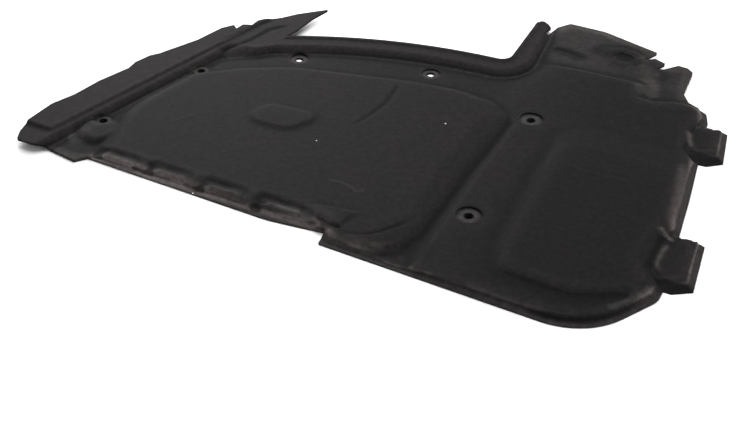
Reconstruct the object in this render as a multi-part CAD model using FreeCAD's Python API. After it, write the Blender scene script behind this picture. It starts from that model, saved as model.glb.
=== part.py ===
import FreeCAD, Part

import math
import os

from FreeCAD import Vector

# Hood insulation pad, pressed from one sheet of lofted fibre felt.
# Millimetres. The engine side faces up (+Z). +X runs along the straight near edge,
# +Y towards the curved far edge. The origin is under the middle of the pad, on its resting plane.

# Plan datums of the cut outline
LEFT_X = -543.6
RIGHT_X = 508.0
NEAR_Y = -403.0
FAR_Y = 419.0
STEP_X = 36.0
STEP_DEPTH = 27.0

# Turn from the near edge to the right edge: two rounded corners with a slanting run between them
TURN_RUN_X = 63.0
TURN_RUN_Y = 114.0
TURN_RADIUS = 110.0
TURN_END_RADIUS = 40.0

# Heights of the pressed relief above the resting plane
RIM_TOP = 3.0
FLOOR_TOP = 6.0
FIELD_RISE = 6.0
LEFT_PILLOW_RISE = 10.0
RIGHT_PILLOW_RISE = 6.0
FLANGE_TOP = 22.0
FLANGE_STEP = 4.0
LIP_TOP = 21.0
LIP_STEP = 3.5
SHEET = 4.0
LEFT_LEDGE_SHARE = 0.62

FIELD_TOP = FLOOR_TOP + FIELD_RISE
LEFT_PILLOW_TOP = FLOOR_TOP + LEFT_PILLOW_RISE
RIGHT_PILLOW_TOP = FIELD_TOP + RIGHT_PILLOW_RISE

# Left flange: a bent strip, from its outer edge over a step and a ledge down to the floor
FLANGE_START = Vector(-508.0, -440.0, 0)
FLANGE_DIRECTION = Vector(0.2, 0.98, 0)
FLANGE_LENGTH = 720.0
FLANGE_LEDGE = 12.0
FLANGE_SLOPE = 17.0
FLANGE_STRIP_START_Y = -376.0

# How a bent edge eases from step to ledge, from ledge to slope and from slope to floor
STEP_FOOT_RISE = 0.6
SLOPE_ROUND_SHARE = 0.25
SHOULDER_DROP = 2.5
SLOPE_FOOT_RISE = 2.0

# How the wall of a soft boss eases: share of the way across, and share of the rise there
SOFT_STEPS = [(0.0, 0.0), (0.3, 0.14), (0.7, 0.86), (1.0, 1.0)]

# Far lip: the same section turned about the centre of the curved far edge, then round the inner
# corner beside the peak, then straight out to the peak while it sinks
LIP_CENTRE = Vector(105.0, -681.0, 0)
LIP_RADIUS = 881.0
LIP_END_ANGLE = 123.5
LIP_EDGE_END_ANGLE = 118.0
LIP_STRIP = 5.0
LIP_OVERRUN = 12.0
LIP_STRIP_END_X = -328.0
LIP_LEDGE = 24.0
LIP_SLOPE = 21.0
PEAK_CORNER_RADIUS = 22.0
PEAK_SIDE_X = 77.0
PEAK_LEAN = 11.0
PEAK_TOP = 13.0
PEAK_LEDGE = 13.0
PEAK_SLOPE = 14.0
PEAK_OVERRUN = 10.0

# Walls behind the near and right edges: rim in front of them, and (inset, height) of each level
RIM_WIDTH = 5.0
NEAR_STRIP = 4.0
WALL_LEVELS = [(0.0, 2.5), (2.5, 8.5), (8.0, 12.5), (18.0, 16.5), (32.0, 19.5), (60.0, 24.0)]
SMALLEST_ROUND = 0.5

# Clip seats: a through hole in a flat pressed ring at the bottom of a dish, by place, ring and ring's top
HOLE_DIAMETER = 14.0
LARGE_RING = 40.0
SMALL_RING = 34.0
SLIM_RING = 28.0
THIN_RING_TOP = 3.5
THICK_RING_TOP = 9.0
DISH_SPREAD = 0.25
SEAT_MARGIN = 4.0
CLIP_SEATS = {
    "left_near": (-446.0, -298.0, SLIM_RING, THICK_RING_TOP),
    "left_far": (-400.0, -81.0, SLIM_RING, THICK_RING_TOP),
    "arc_left": (-271.0, 47.0, SMALL_RING, THIN_RING_TOP),
    "arc_middle": (-34.0, 114.0, SMALL_RING, THIN_RING_TOP),
    "field_far": (186.0, 48.0, LARGE_RING, THICK_RING_TOP),
    "field_near": (205.0, -246.0, LARGE_RING, THICK_RING_TOP),
}

# Low round island beside the left near clip seat, and the oval patch on the left pillow
ISLAND_X = -433.0
ISLAND_Y = -324.0
ISLAND_RADIUS = 36.0
ISLAND_TOP = 13.0
ISLAND_DRAFT = 8.0
OVAL_RISE = 3.5
OVAL_DRAFT = 7.0
OVAL_CORNERS = [(-246, -190, 26), (-150, -190, 40), (-112, -112, 22), (-226, -124, 30)]

# Recesses pressed into the near slope, each with a finger bump that leaves a pit at its left end
BUMP_COUNT = 4
BUMP_PITCH = 99.5
BUMP_FIRST_X = -392.0
BUMP_FIRST_Y = NEAR_Y + 27.0
BUMP_CLIMB = 5.0
BUMP_TOP = 13.5
BUMP_WIDTH = 18.0
BUMP_DRAFT = 7.0
BUMP_OFFSET = -4.0
RECESS_LENGTH = 80.0
RECESS_WIDTH = 18.0
RECESS_FLOOR = 11.5
RECESS_DRAFT = 6.0
PIT_LENGTH = 14.0

# Tabs on the right edge: middle of the root, turn of the root line, length along the edge, reach
TAB_TOP = 9.0
TAB_END_STRIP = 15.0
TAB_SKIRT = 24.0
TAB_CUT = 16.0
TAB_OVERLAP = 34.0
TAB_RIM = 1.5
TAB_TAPER = 5.0
TAB_CREST_TAPER = 2.0
TAB_SIDE = 1.0
TABS = [(RIGHT_X - 43.0, 117.0, 96.5, 105.0, 33.0), (RIGHT_X - 4.0, -205.0, 94.0, 122.0, 38.0)]

# Marks pressed into the thin sheet beyond the field: a slot, a dimple and the flap's fold
SLOT_CORNERS = [(133, 306, 3), (160, 305, 20), (185, 296, 3), (187, 302, 3), (161, 313, 20), (134, 314, 3)]
DIMPLE_CORNERS = [(232, 324, 12), (268, 322, 12), (276, 346, 12), (240, 356, 12)]
SLOT_FLOOR = 1.5
SLOT_DRAFT = 1.5
DIMPLE_FLOOR = 3.0
DIMPLE_DRAFT = 3.0
MARK_BRIM = 0.5
CREST_RISE = 3.0
CREST_DRAFT = 2.5
DIMPLE_CREST = [(214, 350, 0), (240, 366, 16), (272, 362, 30), (329, 299, 0), (321, 297, 0), (268, 352, 30),
                (242, 358, 16), (218, 343, 0)]
FLAP_FOLD = [(320, 294, 0), (332, 262, 20), (340, 222, 0), (350, 222, 0), (341, 266, 20), (330, 296, 0)]

# How far blocks run past the pad, past what they cut and past a face that they would only touch;
# level where small raised forms start inside the sheet; share of a side that its rounds may take
OVERRUN = 60.0
SKY = 60.0
CUT_MARGIN = 1.0
TOUCH_MARGIN = 0.01
ROOT_LEVEL = 1.0
SIDE_IN_USE = 0.98


def near_right_turn():
    """The two corners that lead the cut edge from the near side to the right side."""
    return [(RIGHT_X - TURN_RUN_X, NEAR_Y, TURN_RADIUS), (RIGHT_X, NEAR_Y + TURN_RUN_Y, TURN_END_RADIUS)]


def lip_start_angle():
    """Angle about the lip's centre at which the curved edge hands over to the corner beside the peak."""
    return math.acos((peak_corner().x - LIP_CENTRE.x) / (LIP_RADIUS + PEAK_CORNER_RADIUS))


def curved_edge_corner():
    """Corner of the tangents at both ends of the curved far edge, with the edge's radius."""
    start, end = lip_start_angle(), math.radians(LIP_EDGE_END_ANGLE)
    reach = LIP_RADIUS / math.cos((end - start) / 2)
    turn = (start + end) / 2
    return (LIP_CENTRE.x + reach * math.cos(turn), LIP_CENTRE.y + reach * math.sin(turn), LIP_RADIUS)


def cut_outline():
    """Corners (x, y, radius) of the cut edge, anticlockwise from the step in the near edge."""
    near_and_right = [(STEP_X, NEAR_Y, 3)] + near_right_turn() + [
        (RIGHT_X, -262, 4), (RIGHT_X - 26, -40, 600), (RIGHT_X - 59, 190, 22), (RIGHT_X - 69, 220, 16),
        (RIGHT_X - 105, 237, 14), (RIGHT_X - 121, 262, 4), (RIGHT_X - 127, 344, 8), (RIGHT_X - 139, 355, 6),
    ]
    far_teeth = [
        (RIGHT_X - 157, FAR_Y - 62, 0), (RIGHT_X - 177, FAR_Y - 89, 0), (RIGHT_X - 190, FAR_Y - 92, 0),
        (RIGHT_X - 181, FAR_Y - 66, 0), (RIGHT_X - 202, FAR_Y - 57, 0), (RIGHT_X - 222, FAR_Y - 76, 0),
        (RIGHT_X - 206, FAR_Y - 33, 0), (190, FAR_Y, 60),
        (120, FAR_Y, 8), (103, FAR_Y - 28, 8), (101, FAR_Y - 69, 0), (93, FAR_Y - 69, 0),
        (96, FAR_Y - 42, 5), (75, FAR_Y - 27, 5), (PEAK_SIDE_X - PEAK_LEAN, FAR_Y - 43, 8),
    ]
    curved_edge = [inner_corner(), curved_edge_corner(), (-329, 86, 2)]
    horn = [(-322, 116, 6), (-320, 177, 10), (-311, 226, 1.5), (-356, 179, 30)]
    flange_edge = [
        (-404, 114, 0), (-404, 93, 0), (-420, 86, 0), (-422, 66, 0), (-434, 76, 0), (-448, 54, 12),
        (-460, -6, 20), (-491, -83, 12), (-501, -97, 0), (-509, -130, 0), (-506, -152, 0),
        (-523, -214, 12), (-530, -270, 14), (LEFT_X, -312, 10), (LEFT_X, -374, 26), (-536, -399, 8),
    ]
    near_left = [
        (-524, -419, 4), (-491, -417, 10), (-476, -402, 14), (-416, -409, 0), (-403, -391, 0),
        (-60, NEAR_Y + 13, 200), (STEP_X - 1, NEAR_Y + STEP_DEPTH, 3),
    ]
    return near_and_right + far_teeth + curved_edge + horn + flange_edge + near_left


def wall_line():
    """Foot of the wall behind the near and right rims, scalloped round the tabs, closed round the pad."""
    start, (first, second), end = (STEP_X, NEAR_Y, 0), near_right_turn(), (RIGHT_X, 0, 0)
    turn = [offset_corner(start, first, second, RIM_WIDTH), offset_corner(first, second, end, RIM_WIDTH)]
    near = [
        (LEFT_X - OVERRUN, NEAR_Y + NEAR_STRIP - 20, 0), (-400, NEAR_Y + NEAR_STRIP - 20, 0),
        (-392, NEAR_Y + NEAR_STRIP + 12, 0), (STEP_X - 24, NEAR_Y + NEAR_STRIP + 23, 12),
        (STEP_X + 10, NEAR_Y + RIM_WIDTH, 12),
    ]
    return near + turn + [
        (RIGHT_X - RIM_WIDTH, -268, 6), (RIGHT_X - 26, -238, 16), (RIGHT_X - 28, -168, 16),
        (RIGHT_X - 16, -134, 12), (RIGHT_X - 41.5, 55, 12), (RIGHT_X - 67, 84, 16),
        (RIGHT_X - 71, 146, 16), (RIGHT_X - 68, 200, 14), (RIGHT_X - 84, 226, 10),
        (RIGHT_X - 100, FAR_Y + OVERRUN, 0), (LEFT_X - OVERRUN, FAR_Y + OVERRUN, 0),
    ]


def offset_corner(before, corner, after, inset):
    """Corner of the outline when both sides that meet there move inwards by inset."""
    ax, ay = corner[0] - before[0], corner[1] - before[1]
    bx, by = after[0] - corner[0], after[1] - corner[1]
    la, lb = math.hypot(ax, ay), math.hypot(bx, by)
    nax, nay, nbx, nby = -ay / la, ax / la, -by / lb, bx / lb
    spread = 1 + nax * nbx + nay * nby
    turn = ax * by - ay * bx
    radius = corner[2]
    if radius > 0:
        radius = max(SMALLEST_ROUND, radius - inset if turn > 0 else radius + inset)
    return (corner[0] + inset * (nax + nbx) / spread, corner[1] + inset * (nay + nby) / spread, radius)


def inset_corners(corners, inset):
    """The same outline with every side moved inwards by inset."""
    count = len(corners)
    return [offset_corner(corners[i - 1], corners[i], corners[(i + 1) % count], inset) for i in range(count)]


def corner_frame(before, corner, after):
    """Directions back and ahead from a corner, half the angle between them and the tangent it wants."""
    back = Vector(before[0] - corner[0], before[1] - corner[1], 0)
    ahead = Vector(after[0] - corner[0], after[1] - corner[1], 0)
    half = back.getAngle(ahead) / 2
    return back, ahead, half, corner[2] / math.tan(half)


def corner_points(frames, i, corner, z):
    """Start, middle and end of the arc that rounds a corner; one point where it is sharp."""
    back, ahead, half, tangent = frames[i]
    here = Vector(corner[0], corner[1], z)
    if tangent <= 0:
        return [here]
    wanted = [(back.Length, frames[i - 1][3]), (ahead.Length, frames[(i + 1) % len(frames)][3])]
    share = min([1.0] + [SIDE_IN_USE * side / (tangent + other) for side, other in wanted])
    tangent *= share
    radius = tangent * math.tan(half)
    back, ahead = Vector(back).normalize(), Vector(ahead).normalize()
    middle = (back + ahead).normalize() * (radius / math.sin(half) - radius)
    return [here + back * tangent, here + middle, here + ahead * tangent]


def rounded_wire(corners, z):
    """Closed wire at height z through corners (x, y, radius), joined by lines and arcs."""
    count = len(corners)
    frames = [corner_frame(corners[i - 1], corners[i], corners[(i + 1) % count]) for i in range(count)]
    rounds = [corner_points(frames, i, corners[i], z) for i in range(count)]
    edges = []
    for i in range(count):
        if len(rounds[i]) == 3:
            edges.append(Part.Arc(*rounds[i]).toShape())
        edges.append(Part.makeLine(rounds[i][-1], rounds[(i + 1) % count][0]))
    return Part.Wire(edges)


def prism(corners, bottom, top):
    """Upright block on a rounded outline."""
    return Part.Face(rounded_wire(corners, bottom)).extrude(Vector(0, 0, top - bottom))


def stacked(sections):
    """Solid through rounded outlines (corners, z), with straight walls from each to the next."""
    return Part.makeLoft([rounded_wire(corners, z) for corners, z in sections], True, True)


def soft_boss(foot, crown, bottom, top):
    """Raised area whose wall eases out of the foot outline and over into the crown outline."""
    sections = [(foot, 0.0)]
    for along, rise in SOFT_STEPS:
        corners = [tuple(f + (c - f) * along for f, c in zip(a, b)) for a, b in zip(foot, crown)]
        sections.append((corners, bottom + (top - bottom) * rise))
    return stacked(sections)


def bent_section(strip_top, step, ledge, slope, strip, drop):
    """Upper line (across, height) of a bent edge: strip, step, ledge and slope, lowered by drop."""
    strip_level, ledge_level, floor_level = strip_top - drop, strip_top - step - drop, FLOOR_TOP - drop
    ease = SLOPE_ROUND_SHARE * slope
    return [
        (-OVERRUN - strip, strip_level), (0.0, strip_level), (step, ledge_level + STEP_FOOT_RISE),
        (ledge, ledge_level), (ledge + ease, ledge_level - SHOULDER_DROP),
        (ledge + slope - ease, floor_level + SLOPE_FOOT_RISE), (ledge + slope, floor_level),
    ]


def section_wire(line, bottom, place):
    """Closed wire of a section line and a level below it; place turns (across, height) into a point."""
    points = [place(across, height) for across, height in line]
    points += [place(line[-1][0], bottom), place(line[0][0], bottom)]
    return Part.makePolygon(points + points[:1])


def strip_end(corner, ahead, step):
    """Block that cuts a top strip back to the ledge's level from a corner on, with a slanted end."""
    across = Vector(-ahead.y, ahead.x, 0) * 4 * OVERRUN
    rise = step + CUT_MARGIN
    outline = [(4 * OVERRUN, 0), (0, 0), (-rise, rise), (4 * OVERRUN, SKY)]
    profile = [corner - across + ahead * u + Vector(0, 0, z) for u, z in outline]
    return Part.Face(Part.makePolygon(profile + profile[:1])).extrude(across * 2)


def flange_block(drop, bottom):
    """Left flange section drawn out along its line, with its top strip cut back at the near end."""
    across = Vector(FLANGE_DIRECTION.y, -FLANGE_DIRECTION.x, 0)
    line = bent_section(FLANGE_TOP, FLANGE_STEP, FLANGE_LEDGE, FLANGE_SLOPE, 2 * OVERRUN, drop)
    wire = section_wire(line, bottom, lambda u, z: FLANGE_START + across * u + Vector(0, 0, z))
    block = Part.Face(wire).extrude(FLANGE_DIRECTION * FLANGE_LENGTH)
    ledge_end = Vector(LEFT_X, FLANGE_STRIP_START_Y, FLANGE_TOP - FLANGE_STEP - drop)
    return block.cut(strip_end(ledge_end, Vector(0, -1, 0), FLANGE_STEP))


def lip_line(drop, overrun):
    """Section of the far lip, at the height that it has along the curved edge."""
    return bent_section(LIP_TOP, LIP_STEP, LIP_LEDGE, LIP_SLOPE, overrun - OVERRUN, drop)


def lip_block(drop, bottom):
    """Far lip section turned about the centre of the curved edge, its top strip cut back at the horn."""
    edge = LIP_RADIUS - LIP_STRIP
    start = lip_start_angle()
    outwards = Vector(math.cos(start), math.sin(start), 0)
    wire = section_wire(lip_line(drop, LIP_OVERRUN), bottom,
                        lambda u, z: LIP_CENTRE + outwards * (edge - u) + Vector(0, 0, z))
    block = Part.Face(wire).revolve(LIP_CENTRE, Vector(0, 0, 1), LIP_END_ANGLE - math.degrees(start))
    ledge_end = Vector(LIP_STRIP_END_X, FAR_Y - 4 * OVERRUN, LIP_TOP - LIP_STEP - drop)
    return block.cut(strip_end(ledge_end, Vector(-1, 0, 0), LIP_STEP))


def peak_corner():
    """Centre of the inner corner that joins the curved edge to the side of the peak."""
    x = PEAK_SIDE_X - PEAK_CORNER_RADIUS
    reach = LIP_RADIUS + PEAK_CORNER_RADIUS
    return Vector(x, LIP_CENTRE.y + math.sqrt(reach ** 2 - (x - LIP_CENTRE.x) ** 2), 0)


def peak_side_angle():
    """Lean of the peak's side away from +Y, towards the curved edge, in degrees."""
    return math.degrees(math.atan2(PEAK_LEAN, FAR_Y - peak_corner().y))


def inner_corner():
    """Corner of the cut edge between the curved edge and the side of the peak."""
    start, lean = lip_start_angle(), math.radians(peak_side_angle())
    centre = peak_corner()
    half = (math.pi - start - lean) / 2
    turn = start + math.pi + (start + lean) / 2
    reach = PEAK_CORNER_RADIUS / math.sin(half)
    return (centre.x + reach * math.cos(turn), centre.y + reach * math.sin(turn), PEAK_CORNER_RADIUS)


def lip_corner(drop, bottom):
    """Lip section turned round the inner corner beside the peak."""
    centre = peak_corner()
    edge = PEAK_CORNER_RADIUS + LIP_STRIP
    lean = peak_side_angle()
    line = lip_line(drop, edge - CUT_MARGIN)
    wire = section_wire(line, bottom, lambda u, z: centre + Vector(edge + u, 0, z))
    block = Part.Face(wire).revolve(centre, Vector(0, 0, 1), -math.degrees(lip_start_angle()) - lean)
    block.rotate(centre, Vector(0, 0, 1), lean)
    return block


def peak_strip(drop, bottom):
    """Lip section carried straight out to the peak, narrower and lower as it goes."""
    turn = math.radians(peak_side_angle())
    across, along = Vector(math.cos(turn), math.sin(turn), 0), Vector(-math.sin(turn), math.cos(turn), 0)
    start = peak_corner() + across * (PEAK_CORNER_RADIUS + LIP_STRIP)
    end = start + along * (FAR_Y + PEAK_OVERRUN - start.y)
    far_line = bent_section(PEAK_TOP, LIP_STEP / 2, PEAK_LEDGE, PEAK_SLOPE, 0.0, drop)
    wires = [section_wire(line, bottom, lambda u, z: place + across * u + Vector(0, 0, z))
             for place, line in [(start, lip_line(drop, OVERRUN)), (end, far_line)]]
    return Part.makeLoft(wires, True, True)


def horn_block(drop, bottom):
    """Level plateau under the horn, with a long ramp down to the low strip between flange and lip."""
    foot = [
        (-396, -30, 10), (-352, 4, 10), (-280, 78, 0), (-280, 240, 0), (-470, 240, 0), (-470, -60, 0),
    ]
    crown = [
        (-392, 20, 10), (-352, 26, 10), (-300, 78, 0), (-300, 240, 0), (-470, 240, 0), (-470, -14, 0),
    ]
    top = FLANGE_TOP - FLANGE_STEP
    return stacked([(foot, bottom), (foot, FLOOR_TOP - drop), (crown, top - drop)])


def raised_edges(drop, bottom):
    """The bent edges of the pad as blocks, lowered by drop."""
    return [make(drop, bottom) for make in (flange_block, lip_block, lip_corner, peak_strip, horn_block)]


def field_boss():
    """Raised field that fills the right half, with a long ramp towards the low strip."""
    foot = [
        (182, NEAR_Y - OVERRUN, 0), (RIGHT_X + OVERRUN, NEAR_Y - OVERRUN, 0),
        (RIGHT_X + OVERRUN, 228, 0), (432, 228, 8), (391, 231, 20), (346, 211, 14), (326, 214, 10),
        (328, 262, 14), (200, 258, 24), (128, 252, 20), (66, 140, 30), (62, 72, 20), (158, 22, 14),
        (165, -160, 100), (172, -318, 100),
    ]
    crown = [
        (194, NEAR_Y - OVERRUN, 0), (RIGHT_X + OVERRUN, NEAR_Y - OVERRUN, 0),
        (RIGHT_X + OVERRUN, 214, 0), (430, 214, 8), (392, 217, 20), (348, 197, 14), (314, 200, 10),
        (314, 248, 14), (202, 243, 24), (168, 232, 20), (176, 140, 30), (176, 72, 20), (173, 22, 14),
        (177, -160, 100), (185, -318, 100),
    ]
    return soft_boss(foot, crown, FLOOR_TOP, FIELD_TOP)


def left_pillow():
    """Large raised pillow on the left, with a ledge round its near right corner."""
    foot = [
        (-412, -98, 14), (-345, -36, 60), (-262, 14, 160), (-150, 44, 200), (-52, 70, 200), (38, 84, 100),
        (120, 74, 60), (166, 44, 22), (160, -150, 200), (166, -320, 60), (150, -386, 40),
        (92, -396, 30), (20, -388, 30), (-396, -392, 30), (-414, -345, 30), (-438, -240, 200),
    ]
    ledge = [
        (-402, -100, 14), (-341, -44, 60), (-259, 6, 160), (-148, 36, 200), (-50, 62, 200), (38, 75, 100),
        (110, 65, 60), (144, 34, 22), (140, -150, 200), (152, -300, 60), (138, -374, 40),
        (90, -386, 30), (30, -374, 30), (-388, -378, 30), (-400, -338, 30), (-430, -240, 200),
    ]
    crown = [
        (-397, -104, 14), (-337, -50, 60), (-256, -1, 160), (-146, 29, 200), (-49, 55, 200), (36, 67, 100),
        (92, 57, 60), (112, 20, 22), (112, -150, 200), (130, -290, 60), (104, -366, 50),
        (70, -376, 40), (20, -352, 30), (-376, -362, 30), (-386, -334, 30), (-420, -240, 200),
    ]
    lower = FLOOR_TOP + LEFT_LEDGE_SHARE * LEFT_PILLOW_RISE
    return stacked([(foot, 0.0), (foot, FLOOR_TOP), (ledge, lower), (crown, LEFT_PILLOW_TOP)])


def right_pillow():
    """Higher pillow on the field, rising slowly from its far side and cut off by the right wall."""
    foot = [
        (RIGHT_X + OVERRUN, 120, 0), (226, 120, 60), (240, -84, 300), (262, -300, 60), (280, -354, 26),
        (404, -356, 110), (RIGHT_X + OVERRUN, -262, 0),
    ]
    crown = [
        (RIGHT_X + OVERRUN, -40, 0), (276, -40, 40), (274, -84, 300), (292, -292, 50), (308, -332, 20),
        (398, -336, 100), (RIGHT_X + OVERRUN, -236, 0),
    ]
    return soft_boss(foot, crown, FIELD_TOP, RIGHT_PILLOW_TOP)


def oval_patch():
    """Flat-topped oval raised on the left pillow."""
    top = LEFT_PILLOW_TOP + OVAL_RISE
    sections = [(OVAL_CORNERS, FLOOR_TOP), (OVAL_CORNERS, LEFT_PILLOW_TOP - TOUCH_MARGIN)]
    sections += [(inset_corners(OVAL_CORNERS, OVAL_DRAFT), top)]
    return stacked(sections)


def island():
    """Low round island that stands on the strip between the flange and the left pillow."""
    drum = Part.makeCylinder(ISLAND_RADIUS, FLOOR_TOP, Vector(ISLAND_X, ISLAND_Y, 0))
    cone = Part.makeCone(ISLAND_RADIUS, ISLAND_RADIUS - ISLAND_DRAFT, ISLAND_TOP - FLOOR_TOP,
                         Vector(ISLAND_X, ISLAND_Y, FLOOR_TOP))
    return drum.fuse(cone)


def wall_cap():
    """Everything inside the rounded walls behind the near and right rims."""
    sections = [(wall_line(), 0.0)]
    sections += [(inset_corners(wall_line(), inset), height) for inset, height in WALL_LEVELS]
    return stacked(sections)


def capsule(x, y, length, width):
    """Corners of a long shape with round ends, starting at x and centred on y."""
    end = width / 2
    return [(x, y - end, end), (x + length, y - end, end), (x + length, y + end, end), (x, y + end, end)]


def bump_recess(x, y):
    """Hollow that is pressed into the near slope."""
    floor = capsule(x, y, RECESS_LENGTH, RECESS_WIDTH)
    brim = inset_corners(floor, -RECESS_DRAFT)
    return stacked([(floor, RECESS_FLOOR), (brim, LEFT_PILLOW_TOP), (brim, SKY)])


def finger_bump(x, y):
    """Long low bump on the near side of the recess, which leaves a pit at its left end."""
    base = capsule(x + PIT_LENGTH, y + BUMP_OFFSET, RECESS_LENGTH - PIT_LENGTH, BUMP_WIDTH)
    crest = inset_corners(base, BUMP_DRAFT)
    return stacked([(base, ROOT_LEVEL), (base, RIM_TOP), (crest, BUMP_TOP)])


def pressed_mark(corners, depth_level, draft):
    """Shallow hollow with sloping sides, pressed into the thin far sheet."""
    brim = inset_corners(corners, -draft / 2)
    floor = inset_corners(corners, draft / 2)
    return stacked([(floor, depth_level), (brim, FLOOR_TOP + MARK_BRIM), (brim, SKY)])


def low_crest(corners):
    """Narrow ridge that stands on the thin far sheet."""
    ridge = inset_corners(corners, CREST_DRAFT)
    return stacked([(corners, ROOT_LEVEL), (corners, FLOOR_TOP), (ridge, FLOOR_TOP + CREST_RISE)])


def clip_seat_cuts(x, y, ring, ring_top):
    """Dish above the ring, and the hole through it."""
    height = SKY - ring_top
    dish = Part.makeCone(ring / 2, ring / 2 + DISH_SPREAD * height, height, Vector(x, y, ring_top))
    hole = Part.makeCylinder(HOLE_DIAMETER / 2, SKY, Vector(x, y, -CUT_MARGIN))
    return [dish, hole]


def clip_seat_disc(x, y, ring, ring_top):
    """The ring as a solid disc, where the felt round it is lower."""
    return Part.makeCylinder(ring / 2, ring_top, Vector(x, y, 0))


def clip_seat_cup(x, y, ring, ring_top):
    """Felt that is left round a seat, so that no raised edge is hollow there."""
    return Part.makeCylinder(ring / 2 + SEAT_MARGIN, SKY, Vector(x, y, -ring_top))


def tab(x, y, angle, length, reach):
    """Tongue on the right edge with its end strip and its near side bent down, hollow below."""
    near, far = -length / 2, length / 2
    strip = reach - TAB_END_STRIP
    foot = [(-TAB_OVERLAP, near), (strip / 2, near), (reach, near + TAB_CUT),
            (reach - TAB_TAPER, far), (-TAB_OVERLAP, far)]
    crown = [(-TAB_OVERLAP, near + TAB_SKIRT), (strip / 2, near + TAB_SKIRT), (strip, near + TAB_SKIRT),
             (strip - TAB_CREST_TAPER, far - TAB_SIDE), (-TAB_OVERLAP, far - TAB_SIDE)]
    turn = math.radians(angle - 90)
    out, along = Vector(math.cos(turn), math.sin(turn), 0), Vector(-math.sin(turn), math.cos(turn), 0)

    def wire(points, z):
        places = [Vector(x, y, z) + out * r + along * s for r, s in points]
        return Part.makePolygon(places + places[:1])

    outer = Part.makeLoft([wire(foot, 0.0), wire(foot, TAB_RIM), wire(crown, TAB_TOP)], True, True)
    inner = Part.makeLoft([wire(foot, TAB_RIM - SHEET), wire(crown, TAB_TOP - SHEET)], True, True)
    return outer.cut(inner)


def hood_pad():
    """The whole pad: relief, rims and tabs, less the hollows under the raised edges and the seats."""
    starts = [(BUMP_FIRST_X + i * BUMP_PITCH, BUMP_FIRST_Y + i * BUMP_CLIMB) for i in range(BUMP_COUNT)]
    relief = prism(inset_corners(wall_line(), -CUT_MARGIN), 0, FLOOR_TOP)
    relief = relief.multiFuse([field_boss(), left_pillow(), right_pillow(), oval_patch(), island()])
    recesses = [bump_recess(x, y) for x, y in starts]
    recesses += [pressed_mark(SLOT_CORNERS, SLOT_FLOOR, SLOT_DRAFT)]
    recesses += [pressed_mark(DIMPLE_CORNERS, DIMPLE_FLOOR, DIMPLE_DRAFT)]
    relief = relief.common(wall_cap()).cut(recesses)
    rims = prism(cut_outline(), 0, RIM_TOP)
    raised = [finger_bump(x, y) for x, y in starts] + [low_crest(DIMPLE_CREST), low_crest(FLAP_FOLD)]
    raised += [clip_seat_disc(*seat) for seat in CLIP_SEATS.values()]
    pad = relief.multiFuse([rims] + raised_edges(0, 0) + raised)
    pad = pad.common(prism(cut_outline(), -CUT_MARGIN, SKY))
    pad = pad.multiFuse([tab(*place) for place in TABS])
    cups = [clip_seat_cup(*seat) for seat in CLIP_SEATS.values()]
    hollows = [block.cut(cups) for block in raised_edges(SHEET, -CUT_MARGIN)]
    seats = [cut for seat in CLIP_SEATS.values() for cut in clip_seat_cuts(*seat)]
    return pad.cut(hollows + seats).removeSplitter()


if __name__ == "__main__":
    os.makedirs("parts", exist_ok=True)
    pad = hood_pad()
    pad.exportStep("parts/insulation_pad.step")
    box = pad.BoundBox
    print("solids", len(pad.Solids), "valid", pad.isValid(), "faces", len(pad.Faces), "box", box)
    print("volume cm3", round(pad.Volume / 1000))
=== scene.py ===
"""Looks of the moulded hood insulation pad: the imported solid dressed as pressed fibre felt."""

from __future__ import annotations

import logging
import math
from dataclasses import dataclass
from enum import Enum

import bpy
import numpy as np
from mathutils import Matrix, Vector
from mathutils.bvhtree import BVHTree

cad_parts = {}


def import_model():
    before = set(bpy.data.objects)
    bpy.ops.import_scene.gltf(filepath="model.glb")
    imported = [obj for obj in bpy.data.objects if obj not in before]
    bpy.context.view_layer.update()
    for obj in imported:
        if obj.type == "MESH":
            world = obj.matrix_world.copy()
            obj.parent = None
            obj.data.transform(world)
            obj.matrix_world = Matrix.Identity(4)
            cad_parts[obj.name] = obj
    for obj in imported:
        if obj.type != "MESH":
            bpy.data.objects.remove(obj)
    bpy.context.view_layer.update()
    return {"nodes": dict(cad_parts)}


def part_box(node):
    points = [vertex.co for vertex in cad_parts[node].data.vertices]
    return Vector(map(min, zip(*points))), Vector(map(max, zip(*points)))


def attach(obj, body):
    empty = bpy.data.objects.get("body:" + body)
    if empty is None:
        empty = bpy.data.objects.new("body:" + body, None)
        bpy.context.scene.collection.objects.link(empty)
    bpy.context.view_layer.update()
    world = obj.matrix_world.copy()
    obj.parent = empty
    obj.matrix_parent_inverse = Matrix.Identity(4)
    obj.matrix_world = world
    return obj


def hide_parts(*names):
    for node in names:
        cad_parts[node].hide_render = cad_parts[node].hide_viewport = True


log = logging.getLogger("hood_pad")

MM = 0.001
PAD_NODE = "insulation_pad"

Point = tuple[float, float]


def linear(code: str) -> tuple[float, float, float, float]:
    """Turns an sRGB hex colour into a linear one.

    Args:
        code: Colour such as "#2c2b2b".

    Returns:
        Red, green, blue and alpha, linear.
    """
    parts = [int(code[i:i + 2], 16) / 255 for i in (1, 3, 5)]
    bent = [p / 12.92 if p <= 0.04045 else ((p + 0.055) / 1.055) ** 2.4 for p in parts]
    return (bent[0], bent[1], bent[2], 1.0)


def smooth_rise(values: np.ndarray, low: float, high: float) -> np.ndarray:
    """Eases from 0 at low to 1 at high.

    Args:
        values: Numbers to ease.
        low: Value that gives 0.
        high: Value that gives 1; it may be below low.

    Returns:
        The eased numbers.
    """
    share = np.clip((values - low) / (high - low), 0, 1)
    return share * share * (3 - 2 * share)


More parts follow.
